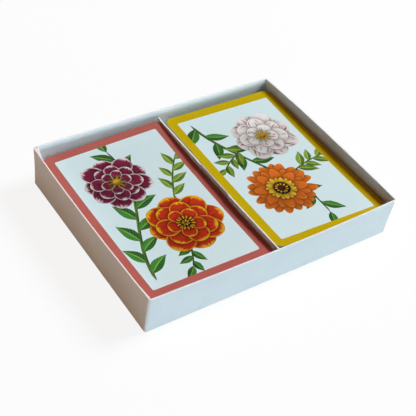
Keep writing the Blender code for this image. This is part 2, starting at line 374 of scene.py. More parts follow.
# %% How the walls lean and bow
LEAN = {
    "right": {"ends": 0.50 * MM, "slant": 0.0, "bow": 0.85 * MM, "skew": 0.39, "power": 2.0},
    "back": {"ends": 1.12 * MM, "slant": 0.10 * MM, "bow": 0.20 * MM, "skew": 0.0, "power": 3.0},
    "left": {"ends": 0.12 * MM, "slant": 0.10 * MM, "bow": 0.80 * MM, "skew": 0.2, "power": 1.5},
    "front": {"ends": 0.35 * MM, "slant": -0.15 * MM, "bow": 1.00 * MM, "skew": 0.3, "power": 1.5},
}
RIPPLE = 0.035 * MM
RIPPLE_WAVES = (7.3, 15.1)
RIPPLE_SHIFT = 1.7
RIPPLE_FADE = 8
CORNER_ROUND = 1.10 * MM


def wall_lean(wall, across, level):
    """How far a wall stands out at a height, at a place from -1 to 1 along it to the right or the back."""
    lean = LEAN[wall]
    lift = min(max(level / RIM, 0.0), 1.0) ** lean["power"]
    bow = lean["bow"] * (1 - across * across) * (1 + lean["skew"] * across)
    phase = RIPPLE_SHIFT * list(LEAN).index(wall)
    slow, quick = RIPPLE_WAVES
    waves = math.sin(slow * across + phase) + math.sin(quick * across + 2 * phase)
    ripple = RIPPLE * (1 - across ** RIPPLE_FADE) * waves / 2
    return lift * (lean["ends"] + lean["slant"] * across + bow + ripple)


def round_corner(x, y):
    """Pulls a place in a corner of the straight tray in under the corner's round, as deep as it was."""
    depth = min(OUTER_X - abs(x), OUTER_Y - abs(y))
    away_x = abs(x) - (OUTER_X - CORNER_ROUND)
    away_y = abs(y) - (OUTER_Y - CORNER_ROUND)
    reach = CORNER_ROUND - depth
    if min(away_x, away_y) <= 0 or math.hypot(away_x, away_y) <= reach:
        return x, y
    share = reach / math.hypot(away_x, away_y)
    return (math.copysign(OUTER_X - CORNER_ROUND + away_x * share, x),
            math.copysign(OUTER_Y - CORNER_ROUND + away_y * share, y))


def lean_out(x, y, level):
    """Takes a place on the straight tray to where the leaning walls carry it."""
    across_x = min(max(x / OUTER_X, -1.0), 1.0)
    across_y = min(max(y / OUTER_Y, -1.0), 1.0)
    side = "right" if x > 0 else "left"
    end = "back" if y > 0 else "front"
    return x + across_x * wall_lean(side, across_y, level), y + across_y * wall_lean(end, across_x, level)


print("mm that each rim leans out:", {wall: round(wall_lean(wall, 0.0, RIM) / MM, 2) for wall in LEAN})

# %% The wrap's section
PAPER = 0.10 * MM
TURN_UNDER = 12.0 * MM
RIM_ROUND = 0.18 * MM
FOOT_ROUND = 0.36 * MM
WALL_THICKNESS = 0.68 * MM
TURN_IN_FOOT = 2.32 * MM
ROUND_STEPS = 5
WALL_LEVELS = (0.16, 0.3, 0.43, 0.55, 0.66, 0.75, 0.82, 0.88, 0.93)


def fold(middle_inset, middle_level, radius, first, last):
    """Points on a rounded fold of the section, with angles in degrees and 180 towards the outside."""
    points = []
    for step in range(ROUND_STEPS + 1):
        angle = math.radians(first + (last - first) * step / ROUND_STEPS)
        points.append((middle_inset + radius * math.cos(angle), middle_level + radius * math.sin(angle)))
    return points


def wrap_section():
    """The strip's section, as insets from the outer face and heights, once round both faces of the paper."""
    inner_round = RIM_ROUND - PAPER
    far_side = WALL_THICKNESS - RIM_ROUND
    section = [(TURN_UNDER, UNDERSIDE)]
    section += fold(FOOT_ROUND, UNDERSIDE + FOOT_ROUND, FOOT_ROUND, 270, 180)
    section += [(0.0, RIM * share) for share in WALL_LEVELS]
    section += fold(RIM_ROUND, RIM - RIM_ROUND, RIM_ROUND, 180, 90)
    section += fold(far_side, RIM - RIM_ROUND, RIM_ROUND, 90, 0)
    section += [(WALL_THICKNESS, RIM * share) for share in WALL_LEVELS[::-1]]
    section += [(WALL_THICKNESS, TURN_IN_FOOT), (WALL_THICKNESS - PAPER, TURN_IN_FOOT)]
    section += [(WALL_THICKNESS - PAPER, RIM * share) for share in WALL_LEVELS]
    section += fold(far_side, RIM - RIM_ROUND, inner_round, 0, 90)
    section += fold(RIM_ROUND, RIM - RIM_ROUND, inner_round, 90, 180)
    section += [(PAPER, RIM * share) for share in WALL_LEVELS[::-1]]
    section += fold(FOOT_ROUND, UNDERSIDE + FOOT_ROUND, FOOT_ROUND - PAPER, 180, 270)
    section += [(TURN_UNDER, UNDERSIDE + PAPER)]
    return section


section = wrap_section()
print("the wrap's section has", len(section), "points")

# %% Puckers, and the plan of a ring round the tray
LEAST_ROUND = 0.03 * MM
CORNER_STEPS = 6
WALL_STEPS = 56
INWARD = {"right": -1, "left": 1}
PUCKER_REACH = 7.0 * MM
PUCKER_PEAK = 0.5 * MM
PUCKER_DEPTH = 7.0 * MM
PUCKERS = {
    ("left", 1): 1.50 * MM, ("left", -1): 0.35 * MM,
    ("right", 1): 0.12 * MM, ("right", -1): 0.12 * MM,
}


def pucker(wall, y, level):
    """How far the turned-in paper stands off the wall near a corner."""
    height = PUCKERS.get((wall, 1 if y > 0 else -1), 0.0)
    gap = OUTER_Y - WALL_THICKNESS - abs(y)
    if gap <= 0 or gap >= PUCKER_REACH:
        return 0.0
    near = (PUCKER_REACH - gap) / (PUCKER_REACH - PUCKER_PEAK)
    if gap < PUCKER_PEAK:
        near = gap / PUCKER_PEAK
    down = max(1 - (RIM - level) / PUCKER_DEPTH, 0.0)
    return height * near * down


def corner_arcs(reach_x, reach_y, radius, steps):
    """The four round corners of a rectangle, each as a row of points, from the back right one on."""
    arcs = []
    for turn, (side_x, side_y) in enumerate(CORNER_SIDES):
        angles = [math.radians(90 * (turn + step / steps)) for step in range(steps + 1)]
        arcs.append([(side_x * reach_x + radius * math.cos(angle),
                      side_y * reach_y + radius * math.sin(angle)) for angle in angles])
    return arcs


def ring_plan(inset):
    """Points round the tray at an inset, each with the wall it belongs to, or None on a corner."""
    radius = max(CORNER_ROUND - inset, LEAST_ROUND)
    arcs = corner_arcs(OUTER_X - inset - radius, OUTER_Y - inset - radius, radius, CORNER_STEPS)
    plan = []
    for turn, wall in enumerate(("back", "left", "front", "right")):
        plan += [(x, y, None) for x, y in arcs[turn]]
        start = arcs[turn][-1]
        end = arcs[(turn + 1) % 4][0]
        for step in range(1, WALL_STEPS):
            share = 0.5 - 0.5 * math.cos(math.pi * step / WALL_STEPS)
            x = start[0] + (end[0] - start[0]) * share
            y = start[1] + (end[1] - start[1]) * share
            plan.append((x, y, wall))
    return plan


print("a ring has", len(ring_plan(0.0)), "points")

# %% Sweep the wrap
SHARP_ANGLE = 40


def new_piece(name, mesh, body):
    """A finished piece that rides on a body and takes its finish from a slot."""
    piece = bpy.data.objects.new(name, mesh)
    bpy.context.scene.collection.objects.link(piece)
    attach(piece, body)
    return piece


def soft_edges(mesh):
    """Shades the mesh smooth, except over sharp edges."""
    mesh.shade_smooth()
    mesh.set_sharp_from_angle(angle=math.radians(SHARP_ANGLE))


wrap_points = []
for inset, level in section:
    for x, y, wall in ring_plan(inset):
        if inset > WALL_THICKNESS / 2 and wall in INWARD and level > TURN_IN_FOOT - PAPER:
            x += INWARD[wall] * pucker(wall, y, level)
        wrap_points.append((*lean_out(x, y, level), level))
ring_size = len(wrap_points) // len(section)
wrap_faces = []
for ring in range(len(section)):
    above = (ring + 1) % len(section)
    for place in range(ring_size):
        beside = (place + 1) % ring_size
        wrap_faces.append((ring * ring_size + place, ring * ring_size + beside,
                           above * ring_size + beside, above * ring_size + place))
wrap_mesh = bpy.data.meshes.new("paper_wrap")
wrap_mesh.from_pydata(wrap_points, [], wrap_faces)
wrap_mesh.materials.append(white_paper)
soft_edges(wrap_mesh)
paper_wrap = new_piece("paper_wrap", wrap_mesh, "tray")
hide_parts("side_wrap")
print("paper_wrap has", len(wrap_faces), "faces")

# %% [markdown]
# ## Boards, stays and the sheet under the base
#
# The boards and the tapes at the corners hold the wrap's shape from inside, so they lean with it. A copy of
# each CAD solid is cut across every few millimetres, which gives it points to bend at, and every point is
# moved by the same rule as the paper. The base board is fitted to the wrap in the same way and stays all
# but flat. The pasted sheet under the base keeps its CAD shape and gets a paper finish.

# %% Leaning boards and stays, and finishes for the flat pieces
BOARD_CUT = 4.0 * MM
LEVEL_CUT = 1.6 * MM
SAME_PLACE = 0.001 * MM
ON_THE_CUT = 0.0001 * MM


def merged_copy(node):
    """A copy of a CAD node's mesh with its loose triangles joined."""
    shape = bmesh.new()
    shape.from_mesh(frame["nodes"][node].data)
    bmesh.ops.remove_doubles(shape, verts=shape.verts, dist=SAME_PLACE)
    return shape


def cut_across(shape, axis, low, high, spacing):
    """Cuts a shape with a row of planes, so that it has points to bend at."""
    normal = [0.0, 0.0, 0.0]
    normal[axis] = 1.0
    count = max(int((high - low) / spacing), 1)
    for step in range(1, count):
        point = [part * (low + (high - low) * step / count) for part in normal]
        everything = shape.verts[:] + shape.edges[:] + shape.faces[:]
        bmesh.ops.bisect_plane(shape, geom=everything, plane_co=point, plane_no=normal, dist=ON_THE_CUT)


def finish_shape(name, shape, material):
    """Writes a bmesh to a new mesh with one finish."""
    mesh = bpy.data.meshes.new(name)
    shape.to_mesh(mesh)
    shape.free()
    mesh.materials.clear()
    mesh.materials.append(material)
    return mesh


def lean_copy(name, node, material):
    """A copy of one of the tray's CAD solids that leans with the walls and stands for it."""
    shape = merged_copy(node)
    for axis, spacing in enumerate((BOARD_CUT, BOARD_CUT, LEVEL_CUT)):
        cut_across(shape, axis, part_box(node)[0][axis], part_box(node)[1][axis], spacing)
    for vert in shape.verts:
        vert.co.x, vert.co.y = lean_out(*round_corner(vert.co.x, vert.co.y), vert.co.z)
    piece = new_piece(name, finish_shape(name, shape, material), "tray")
    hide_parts(node)


def dress(node, material):
    """Gives a CAD node that stays a finish of its own."""
    slots = frame["nodes"][node].data.materials
    slots.clear()
    slots.append(material)


dress("base_paper", white_paper)
lean_copy("fitted_base_board", "base_board", greyboard)
for wall in LEAN:
    lean_copy(f"leaning_{wall}_wall_board", f"{wall}_wall_board", greyboard)
for end in ("front", "back"):
    for side in ("left", "right"):
        lean_copy(f"leaning_corner_stay_{end}_{side}", f"corner_stay_{end}_{side}", stay_tape)
fitted = [name for name in bpy.data.objects.keys() if name.startswith(("leaning", "fitted"))]
print("boards and stays fitted to the wrap:", len(fitted))

# %% [markdown]
# ## The divider
#
# Each compartment is lined with a sheet of white card, folded up at its inner edge. The two upright leaves
# stand back to back. The left one is cut away in the middle for a finger, which leaves only the right leaf
# there. Card stands upright by itself but is never quite flat: near their top the leaves bend over to the
# left, most a little behind the middle of the tray, and a slow wave runs along them.

# %% The two liners
LEAF_CUT = 3.0 * MM
LEAF_LEVEL_CUT = LEAF_CUT / 3
LEAF_WAVE = 0.03 * MM
LEAF_WAVE_REACH = 9.0 * MM
LEAF_LEAN = 0.41 * MM
LEAF_POWER = 6
LEAN_MOST_AT = 4.0 * MM
LEAN_REACH = 58.0 * MM
LEAF_FOLD = 2.0 * MM
LEAF_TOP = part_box("right_liner")[1][2]
LEAF_NEAR = 1.0 * MM


def leaf_wave(y, level):
    """How far the divider sways to the right."""
    lift = min(max((level - LEAF_FOLD) / (LEAF_TOP - LEAF_FOLD), 0.0), 1.0) ** LEAF_POWER
    lean = LEAF_LEAN * (1 - ((y - LEAN_MOST_AT) / LEAN_REACH) ** 2)
    return lift * (LEAF_WAVE * math.sin(y / LEAF_WAVE_REACH) - lean)


for hand in ("left", "right"):
    node = hand + "_liner"
    low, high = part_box(node)
    shape = merged_copy(node)
    cut_across(shape, 1, low[1], high[1], LEAF_CUT)
    cut_across(shape, 2, LEAF_FOLD, high[2], LEAF_LEVEL_CUT)
    for vert in shape.verts:
        if abs(vert.co.x) < LEAF_NEAR:
            vert.co.x += leaf_wave(vert.co.y, vert.co.z)
    liner = new_piece("card_" + node, finish_shape(node, shape, liner_card), "tray")
    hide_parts(node)
print("divider leaves stand", round(LEAF_TOP / MM, 2), "mm high")

# %% [markdown]
# ## Where the decks lie and how they curl
#
# Every size of a deck can be read from the CAD cards: the top card's corners give its middle and its turn,
# the lowest and highest card give the stack's height. New cards curl as the air dries them. The whole stack
# shares one curl: its short ends rise, and it tilts and twists slightly. The rise grows from nothing at the
# tray floor to its full size at the top card, so no card runs into the next. The yellow deck is also pushed
# over to the right towards its top. Its top card lies back to the left, and takes its curl from the place
# on the card below where each of its points lies.

# %% Measure the decks
CARDS = 54
CURL = {
    "coral": {"Tilt across": 0.50 * MM, "Tilt along": -0.07 * MM, "Twist": 0.60 * MM, "Curl": 0.84 * MM},
    "yellow": {"Tilt across": -0.14 * MM, "Tilt along": -0.06 * MM, "Twist": 0.38 * MM, "Curl": 0.54 * MM},
}
SLIDE = {
    "coral": {"right": 0.0, "turn": 0.0, "top_right": 0.0},
    "yellow": {"right": 1.05 * MM, "turn": math.radians(0.9), "top_right": 0.19 * MM},
}
PANEL_HALF = (24.45, 40.29)
PANEL_HALF_X, PANEL_HALF_Y = (half * MM for half in PANEL_HALF)


def measure_deck(colour):
    """Middle, turn, heights and card size of one deck, read from its CAD cards."""
    low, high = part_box(colour + "_joker_1")
    points = np.array([vert.co[:] for vert in frame["nodes"][colour + "_joker_1"].data.vertices])
    points = np.unique(np.round(points, 7), axis=0)
    middle = (np.array(low) + np.array(high)) / 2
    flat = points[:, :2] - middle[:2]
    spread = flat.T @ flat
    turn = 0.5 * math.atan2(-2 * spread[0, 1], spread[1, 1] - spread[0, 0])
    cos, sin = math.cos(turn), math.sin(turn)
    square = flat @ np.array([[cos, -sin], [sin, cos]])
    size = square.max(axis=0) - square.min(axis=0)
    floor_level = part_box(colour + "_ace_of_hearts")[0][2]
    thickness = high[2] - low[2]
    return {"x": middle[0], "y": middle[1], "turn": turn, "width": size[0], "length": size[1],
            "thickness": thickness, "bottom": floor_level, "height": high[2] - floor_level,
            "pitch": (high[2] - floor_level - thickness) / (CARDS - 1)}


DECKS = {colour: measure_deck(colour) for colour in CURL}
for colour, deck in DECKS.items():
    print(colour, "deck:", {name: round(value / MM, 3) for name, value in deck.items() if name != "turn"},
          "turned", round(math.degrees(deck["turn"]), 2), "degrees")


def place_in_deck(colour, points, on_top=False):
    """Turns points as the deck is turned and moves them to it, pushed over more towards the top."""
    deck, slide = DECKS[colour], SLIDE[colour]
    x, y, z = points.T
    share = (z / deck["height"]) ** 2
    right, turn = slide["right"] * share, deck["turn"] + slide["turn"] * share
    if on_top:
        right, turn = slide["top_right"], deck["turn"]
    cos, sin = np.cos(turn), np.sin(turn)
    moved_x = deck["x"] + right + cos * x - sin * y
    moved_y = deck["y"] + sin * x + cos * y
    return np.stack((moved_x, moved_y, deck["bottom"] + z), axis=1)


def lay_in_deck(colour, points, on_top=False):
    """Takes points on a flat card about the origin, at its height in the deck, to the curled deck."""
    curl, slide = CURL[colour], SLIDE[colour]
    x, y, z = points.T
    under_x, under_y = x, y
    if on_top:
        cos, sin = math.cos(slide["turn"]), math.sin(slide["turn"])
        under_x = cos * x + sin * y + slide["top_right"] - slide["right"]
        under_y = cos * y - sin * x
    across = under_x / PANEL_HALF_X
    along = under_y / PANEL_HALF_Y
    rise = curl["Tilt across"] * across + curl["Tilt along"] * along
    rise = rise + curl["Twist"] * across * along + curl["Curl"] * (along * along - 1 / 3)
    curled = np.stack((x, y, z + rise * z / DECKS[colour]["height"]), axis=1)
    return place_in_deck(colour, curled, on_top)


# %% [markdown]
# ## Card finishes
#
# A card is varnished paper: smooth, with a soft sheen and the tiniest dimples. The back has a coloured
# border round a white panel, the face is white, and the cut edge shows the raw paper, painted greyer than
# the face as painted shade for the gaps round the decks. Printed ink is never quite even, so the colours
# carry a faint grain.

# %% Inks, panel, face and edge
SHEEN = {"Specular IOR Level": 0.03}
VARNISH_SCALE = 1300.0
VARNISH_BUMP = 0.02 * MM


def feed_varnish(material, place):
    """The tiny dimples of the varnish."""
    feed_bump(material, place.noise(VARNISH_SCALE, 1.0), 0.12, VARNISH_BUMP)


def card_finish(name, colour, spread=5, roughness=0.42):
    """One printed colour under varnish. Grain and slow patches go from a darker to a lighter tone."""
    material, place = start_finish(name, SHEEN)
    speckle = place.noise(2400.0, 3.0)
    dark, light = ([min(max(part + change, 0), 255) for part in colour] for change in (-spread, spread))
    tone = (speckle * 0.6 + place.noise(70.0, 2.0) * 0.4).rises(*TONE_RANGE)
    feed(material, "Base Color", tone.blend(ink(*dark), ink(*light)))
    feed(material, "Roughness", speckle * 0.12 + roughness)
    feed_varnish(material, place)
    return material


BORDER_INK = {"coral": card_finish("coral_border_ink", (182, 98, 89)),
              "yellow": card_finish("yellow_border_ink", (196, 171, 5))}
panel_paper = card_finish("white_panel", (215, 238, 240), 2)
face_paper = card_finish("white_card_face", (222, 226, 226), 2)
pip_red = card_finish("red_pip_ink", (178, 36, 34))
star_ink = card_finish("star_ink", (60, 62, 70))
# Painted shade: the raw card edge is painted greyer than the card's own paper, so the gaps round the decks
# read dark.
raw_edge_with_shade = paper_finish("card_raw_edge_with_shade", (164, 161, 154), (194, 191, 184), 0.65, 2600.0, 0.2)[0]
print("card finishes:", len(bpy.data.materials), "materials so far")

# %% [markdown]
# ## A leaf, a petal and a stem are one shape
#
# The backs carry an ordinary garden print of round blooms and leafy sprigs. Every part of it is the same
# simple idea: a middle line from a start to a tip, bent a little, and a width that grows and shrinks along
# it. Going from (along, across) to a place on the card draws the outline, and going back from a place to
# (along, across) tells whether it is inside and gives the coordinates that the ink follows.

# %% Motifs in millimetres on a card
LEAST_WIDTH = 1e-4
FORMS = {
    "petal": lambda u: np.sin(np.pi * u ** 1.6) ** 0.62,
    "round": lambda u: np.sin(np.pi * u ** 1.35) ** 0.5,
    "ray": lambda u: np.sin(np.pi * u ** 1.3) ** 0.5,
    "leaf": lambda u: np.sin(np.pi * u ** 0.8) ** 1.15,
    "stem": lambda u: (1 - np.abs(2 * u - 1) ** 24) * (1.15 - 0.45 * u),
    "disc": lambda u: np.sqrt(np.clip(1 - (2 * u - 1) ** 2, 0, 1)),
    "diamond": lambda u: 1 - np.abs(2 * u - 1),
    "kite": lambda u: np.minimum(u / 0.38, (1 - u) / 0.62),
}


def motif(finish, start, heading, length, width, form, arc=0.0, ess=0.0):
    """One part of a print: where it starts, where it points in degrees, its size, its form and its bends."""
    angle = math.radians(heading)
    way = np.array((math.cos(angle), math.sin(angle)))
    return {"finish": finish, "start": np.array(start, float), "way": way, "heading": angle,
            "length": length, "width": width, "form": FORMS[form], "arc": arc, "ess": ess}


def sway(part, u):
    """How far the bent middle line lies off the straight one."""
    return part["length"] * u * (1 - u) * (part["arc"] + part["ess"] * (1 - 2 * u))


def half_width(part, u):
    """Half the part's width at each place along it."""
    return 0.5 * part["width"] * np.nan_to_num(part["form"](np.clip(u, 0.0, 1.0)))


def to_card(part, u, v):
    """From along and across to places on the card."""
    way = part["way"]
    side = np.array((-way[1], way[0]))
    offset = sway(part, u) + v * half_width(part, u)
    return part["start"] + np.outer(part["length"] * u, way) + np.outer(offset, side)


def from_card(part, points):
    """From places on the card to along and across."""
    way = part["way"]
    away = points - part["start"]
    u = away @ way / part["length"]
    offset = away @ np.array((-way[1], way[0])) - sway(part, u)
    return u, offset / np.maximum(half_width(part, u), LEAST_WIDTH)


def covers(part, points):
    """Whether each place is inside the part."""
    u, v = from_card(part, points)
    return (u > 0) & (u < 1) & (np.abs(v) < 1)


def outline(part, steps):
    """The part's edge as a closed row of places."""
    u = 0.5 - 0.5 * np.cos(np.pi * np.arange(steps + 1) / steps)
    there = to_card(part, u, np.ones_like(u))
    back = to_card(part, u[-2:0:-1], -np.ones(steps - 1))
    return np.concatenate((there, back))


print("print forms:", ", ".join(FORMS))

# %% [markdown]
# ## Petal, leaf and stem inks
#
# A hand-coloured flower print has a few habits: petals darken towards the heart, fine streaks run from base
# to tip, a pale rim follows the edge and breaks into feathers, and every part is shaded where the next one
# lies over it. The mesh carries two UV maps for this. "paint" holds along and across, with each part's own
# number added to along, so that no two petals have the same streaks. "shade" holds the shadow under
# neighbours and the tone of the part.

# %% Inks that follow a motif
def motif_ink(name):
    """Starts an ink that follows a motif: its material, coordinates, along, across and streaks."""
    material, place = start_finish(name, SHEEN)
    paint = place.node("ShaderNodeUVMap", {"uv_map": "paint"})
    numbered = paint.axis(0)
    across = numbered.beside(1) * 2 - 1
    number = numbered.math("FLOOR")
    along = numbered - number
    streaks = place.vector(across * 3.2 + number * 7.3, along * 1.1, number * 0.61).noise(1.6, 4.0)
    feed(material, "Roughness", streaks * 0.12 + 0.4)
    feed_varnish(material, place)
    return material, place, along, across, streaks


def feed_shaded(material, place, colour, depth=0.62):
    """Darkens a motif's colour by its shadow, lights it by its tone, and links it."""
    shade = place.node("ShaderNodeUVMap", {"uv_map": "shade"})
    shadow = shade.axis(0)
    tone = shadow.beside(1) * 0.34 + 0.83
    grain = (place.noise(2000.0, 3.0) - 0.5) * 0.1 + 1.0
    feed(material, "Base Color", colour.scaled((1 - shadow * depth) * tone * grain))


def petal_ink(name, colours, rim_from=0.62, rim_to=0.95, streak_amount=0.7):
    """A petal. Its colours are those of the base, the body, the streaks and the feathered rim."""
    base, body, streak, rim = (ink(*colour) for colour in colours)
    material, place, along, across, streaks = motif_ink(name)
    edge = (abs(across) ** 2.2).math("MAXIMUM", along.rises(0.55, 1.05))
    feather = (edge + (streaks - 0.5) * 0.75).rises(rim_from, rim_to)
    colour = (along + (streaks - 0.5) * 0.5).rises(0.08, 0.6).blend(base, body)
    colour = (streaks.rises(0.52, 0.68) * streak_amount).blend(colour, streak)
    colour = feather.blend(colour, rim)
    outer = abs(across).rises(0.93, 1.0).math("MAXIMUM", along.rises(0.965, 1.0))
    feed_shaded(material, place, (outer * 0.35).blend(colour, streak))
    return material


def leaf_ink(name, colours, vein_count):
    """A leaf: a dark and a light half, a pale rib and slanting veins."""
    dark, light, rib = (ink(*colour) for colour in colours)
    material, place, along, across, streaks = motif_ink(name)
    half = across.rises(-0.12, 0.12)
    colour = (half * 0.6 + (streaks - 0.5) * 0.9 + 0.15).blend(dark, light)
    slant = (along * vein_count - abs(across) * 1.7).math("FRACT")
    vein = 1 - abs(slant - 0.5).rises(0.0, 0.14)
    colour = (vein * 0.4).blend(colour, rib)
    middle = 1 - abs(across).rises(0.03, 0.15)
    colour = (middle * 0.75).blend(colour, rib)
    feed_shaded(material, place, (abs(across).rises(0.86, 1.0) * 0.5).blend(colour, dark))
    return material


def plain_ink(name, colours):
    """A stem, seed or stamen: one colour from dark to light, rounder and darker towards its sides."""
    dark, light = (ink(*colour) for colour in colours)
    material, place, along, across, streaks = motif_ink(name)
    colour = ((across + 1.0) * 0.45 + (streaks - 0.5) * 0.8).rises(0.0, 1.0).blend(dark, light)
    feed_shaded(material, place, (abs(across).rises(0.6, 1.0) * 0.6).blend(colour, dark))
    return material


INKS = {
    "sunset": petal_ink("sunset_petal_ink", ((112, 22, 14), (186, 52, 26), (122, 24, 16), (226, 176, 38))),
    "plum": petal_ink("plum_petal_ink", ((214, 178, 74), (118, 34, 62), (66, 14, 40), (228, 222, 222))),
    "orange": petal_ink(
        "orange_petal_ink", ((120, 40, 12), (208, 108, 34), (160, 60, 16), (224, 148, 62)), 0.75, 1.1),
    "gold": petal_ink("gold_petal_ink", ((150, 96, 12), (222, 184, 40), (170, 110, 16), (236, 212, 98))),
    "streaked": petal_ink(
        "streaked_petal_ink", ((196, 204, 150), (226, 224, 220), (140, 20, 52), (232, 230, 228)),
        0.72, 1.1, 0.95),
    "leaf": leaf_ink("leaf_ink", ((18, 74, 34), (62, 142, 54), (150, 188, 92)), 8.0),
    "young_leaf": leaf_ink("young_leaf_ink", ((58, 96, 30), (128, 166, 52), (190, 206, 112)), 7.0),
    "stem": plain_ink("stem_ink", ((54, 78, 26), (138, 158, 62))),
    "seed": plain_ink("dark_seed_ink", ((22, 14, 12), (88, 46, 20))),
    "stamen": plain_ink("stamen_ink", ((150, 96, 10), (238, 200, 60))),
}
print("print inks:", ", ".join(INKS))

# %% [markdown]
# ## Two garden prints
#
# A bloom is rings of petals, the widest ring first and each later ring on top. Within a ring every second
# petal lies over its two neighbours. A sprig is a bent stem with leaves on its left and right by turns. Both
# are drawn by short rules, with a fixed seed for the small irregularities of a print drawn by hand.

# %% Blooms and sprigs
PETAL_TURN = (-4, 4)
PETAL_STRETCH = (0.92, 1.06)
PETAL_WIDEN = (0.94, 1.06)
PETAL_ARC = (-0.14, 0.14)
LEAF_SIZE = (0.88, 1.1)
LEAF_TURN = (0.85, 1.15)
LEAF_BEND = (0.4, 1.3)
LEAF_ARC = -0.22
TIP_TURN = 0.35
TIP_SHRINKS = 0.25
LOOK_AHEAD = 0.01


def bloom(chance, middle, rings):
    """Rings of petals round a middle. A ring is ink, count, start, length, width, form and first angle."""
    parts = []
    for finish, count, start, length, width, form, first in rings:
        order = list(range(0, count, 2)) + list(range(1, count, 2))
        for place in order:
            heading = first + 360 * place / count + chance.uniform(*PETAL_TURN)
            petal_length = length * chance.uniform(*PETAL_STRETCH)
            petal_width = width * chance.uniform(*PETAL_WIDEN)
            arc = chance.uniform(*PETAL_ARC)
            angle = math.radians(heading)
            foot = (middle[0] + start * math.cos(angle), middle[1] + start * math.sin(angle))
            parts.append(motif(finish, foot, heading, petal_length, petal_width, form, arc))
    return parts


def dot(finish, middle, width):
    """A round spot."""
    return motif(finish, (middle[0] - width / 2, middle[1]), 0, width, width, "disc")


def sprig(chance, finish, start, heading, length, arc, ess, leaves, spread, first=0.12, last=1.0, width=1.0):
    """A bent stem with leaves by turns on its left and right. Leaves gives count, length and width."""
    stem = motif("stem", start, heading, length, width, "stem", arc, ess)
    count, leaf_length, leaf_width = leaves
    parts = [stem]
    for place in range(count):
        u = first + (last - first) * place / max(count - 1, 1)
        here, ahead = to_card(stem, np.array((u, u + LOOK_AHEAD)), np.zeros(2))
        way = math.degrees(math.atan2(*(ahead - here)[::-1]))
        side = 1 if place % 2 else -1
        size = chance.uniform(*LEAF_SIZE) * (1.0 - TIP_SHRINKS * u)
        turn = spread * side * (TIP_TURN if place == count - 1 else 1.0) * chance.uniform(*LEAF_TURN)
        bend = LEAF_ARC * side * chance.uniform(*LEAF_BEND)
        parts.append(motif(finish, here, way + turn, leaf_length * size, leaf_width * size, "leaf", bend))
    return parts


print("petals turn by up to", PETAL_TURN[1], "degrees from their places")

# %% The two prints
PRINT_SEEDS = {"coral": 11, "yellow": 23}


def coral_print():
    """Plum bloom at the upper left, sunset bloom at the lower right, and sprigs between."""
    chance = np.random.default_rng(PRINT_SEEDS["coral"])
    plum_middle, sunset_middle = (-6.8, 18.5), (6.2, -14.5)
    parts = sprig(chance, "leaf", (-20.5, -36.5), 76, 76, -0.16, 0.34, (13, 13.5, 5.6), 48, 0.05, 0.99, 1.3)
    parts += sprig(chance, "young_leaf", (6, -12), 62, 40, 0.25, 0.0, (8, 10.5, 4.2), 44, 0.35, 0.99, 0.9)
    parts += sprig(chance, "leaf", (4, -16), -112, 22, 0.2, 0.0, (5, 10, 4.4), 46, 0.5, 0.99, 0.9)
    parts += bloom(chance, plum_middle, (
        ("plum", 9, 1.0, 14.2, 9.6, "petal", 12),
        ("plum", 8, 0.8, 10.2, 7.2, "petal", 32),
        ("plum", 6, 0.5, 6.6, 5.0, "round", 5)))
    parts.append(dot("stamen", plum_middle, 3.6))
    parts += bloom(chance, plum_middle, (("seed", 9, 2.0, 1.5, 0.8, "ray", 0),))
    parts += bloom(chance, sunset_middle, (
        ("sunset", 8, 1.2, 15.8, 12.4, "round", 0),
        ("sunset", 7, 1.0, 11.6, 9.4, "round", 22),
        ("sunset", 5, 0.8, 7.6, 6.6, "round", 40)))
    parts.append(dot("seed", sunset_middle, 5.0))
    parts += bloom(chance, sunset_middle, (
        ("stamen", 14, 2.1, 2.0, 0.9, "ray", 0),
        ("stamen", 7, 0.4, 1.4, 0.8, "ray", 9)))
    return parts


def yellow_print():
    """Orange bloom at the lower left, streaked bloom at the upper right, and sprigs between."""
    chance = np.random.default_rng(PRINT_SEEDS["yellow"])
    streaked_middle, orange_middle = (7.0, 18.0), (-5.6, -14.5)
    parts = sprig(chance, "leaf", (-19.5, 37), -72, 77, 0.14, -0.36, (13, 13.0, 5.4), 50, 0.04, 0.99, 1.3)
    parts += sprig(chance, "young_leaf", (6, 18), 205, 30, -0.25, 0.0, (7, 10.0, 4.2), 46, 0.45, 0.99, 0.9)
    parts += sprig(chance, "young_leaf", (-5, -14), 20, 31, 0.3, 0.0, (7, 10.5, 4.4), 46, 0.5, 0.99, 0.9)
    parts += bloom(chance, streaked_middle, (
        ("streaked", 8, 1.0, 14.6, 11.2, "round", 8),
        ("streaked", 7, 0.8, 11.0, 9.0, "round", 30),
        ("streaked", 5, 0.6, 7.2, 6.6, "round", 50)))
    parts.append(dot("stamen", streaked_middle, 3.2))
    parts += bloom(chance, streaked_middle, (("stamen", 11, 1.2, 2.6, 0.8, "ray", 0),))
    parts += bloom(chance, orange_middle, (
        ("orange", 19, 3.0, 12.6, 5.2, "ray", 0),
        ("orange", 16, 2.6, 9.4, 4.4, "ray", 9),
        ("gold", 18, 2.2, 4.6, 2.0, "ray", 0)))
    parts.append(dot("seed", orange_middle, 7.6))
    parts += bloom(chance, orange_middle, (("gold", 11, 1.6, 1.4, 0.7, "ray", 0),))
    return parts


PRINTS = {"coral": coral_print(), "yellow": yellow_print()}
print("parts in the prints:", {colour: len(parts) for colour, parts in PRINTS.items()})

# %% [markdown]
# ## Print on a card without a picture
#
# The print could be a texture image, but a mesh keeps every edge sharp at any distance. A constrained
# triangulation takes the card's outline, the panel's outline and all the visible motif outlines, and fills
# the sheet with triangles that never cross one of them. Each triangle then takes the ink of the topmost
# part that covers its middle. The panel crops the print as a window would, and on the yellow cards panel
# and print sit a little towards one corner, as they do when a sheet isn't cut quite in register.

